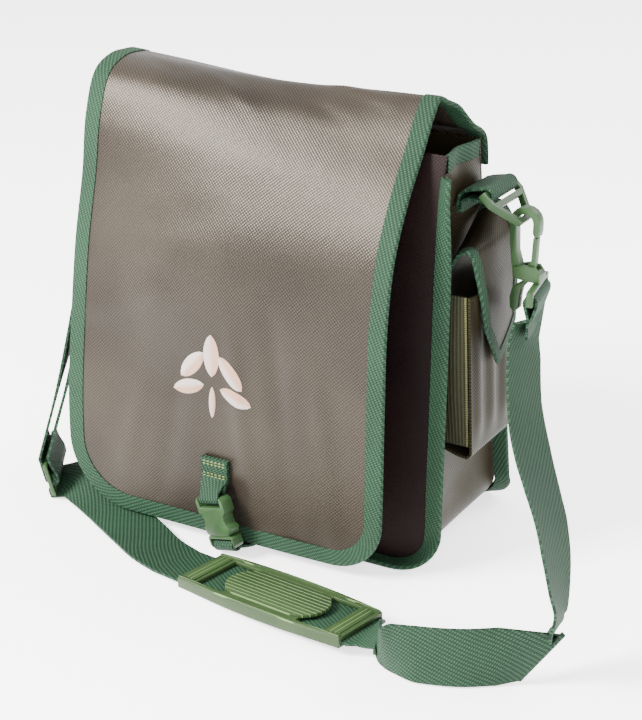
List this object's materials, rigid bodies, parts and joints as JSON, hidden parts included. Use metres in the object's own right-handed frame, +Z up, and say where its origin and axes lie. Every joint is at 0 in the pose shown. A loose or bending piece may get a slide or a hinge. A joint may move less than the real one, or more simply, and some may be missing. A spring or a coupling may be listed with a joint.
{
  "type": "reporter bag",
  "caption": "Small canvas shoulder bag with a long bound flap, side-release buckle, side pocket, snap hook and a webbing strap with a shoulder pad.",
  "frame": {"origin": "middle of the base, at the floor", "axes": "+Z up, the front with the flap and buckle faces -Y, +X is the side with the pocket and snap hook"},
  "size_m": [0.4298, 0.2675, 0.3091],
  "materials": {
    "flap_cloth": "coated basket-weave canvas, grey-brown, slight sheen",
    "dark_cloth": "the same canvas in dark maroon-brown",
    "gusset_cloth": "olive grey-brown canvas",
    "binding": "green herringbone edge tape with light flecks",
    "webbing": "green woven webbing with light flecks",
    "ribbed_band": "dark olive ribbed band with yellowish edges",
    "plastic": "sage green moulded plastic, satin",
    "pad_plastic": "olive green soft moulded plastic, ribbed"
  },
  "bodies": {
    "root": {"front_panel": "dark_cloth", "back_panel": "gusset_cloth", "gusset": "gusset_cloth", "gusset_top_binding_left": "binding", "gusset_top_binding_right": "binding", "front_binding": "binding", "back_binding": "binding", "flap": "flap_cloth", "flap_binding": "binding", "buckle_female": "plastic", "buckle_male": "plastic", "closure_tab": "webbing", "buckle_webbing": "webbing", "pocket_band_front": "ribbed_band", "pocket_band_rear": "ribbed_band", "pocket_front": "gusset_cloth", "pocket_lid": "gusset_cloth", "pocket_lid_binding": "binding", "strap_loop_right": "webbing", "strap_loop_left": "webbing", "ring_right": "plastic", "ring_left": "plastic", "hook_body": "plastic", "hook_swivel": "plastic", "strap_slider": "plastic", "shoulder_strap": "webbing", "shoulder_pad": "pad_plastic"},
    "gate": {"hook_gate": "plastic"}
  },
  "joints": [
    {"name": "gate_hinge", "type": "hinge", "parent": "root", "child": "gate", "pos_m": [0.17028, -0.011, 0.20075], "axis": [0, -1, 0], "range_deg": [0, 12], "stiffness_Nm_per_rad": 0.02}
  ]
}
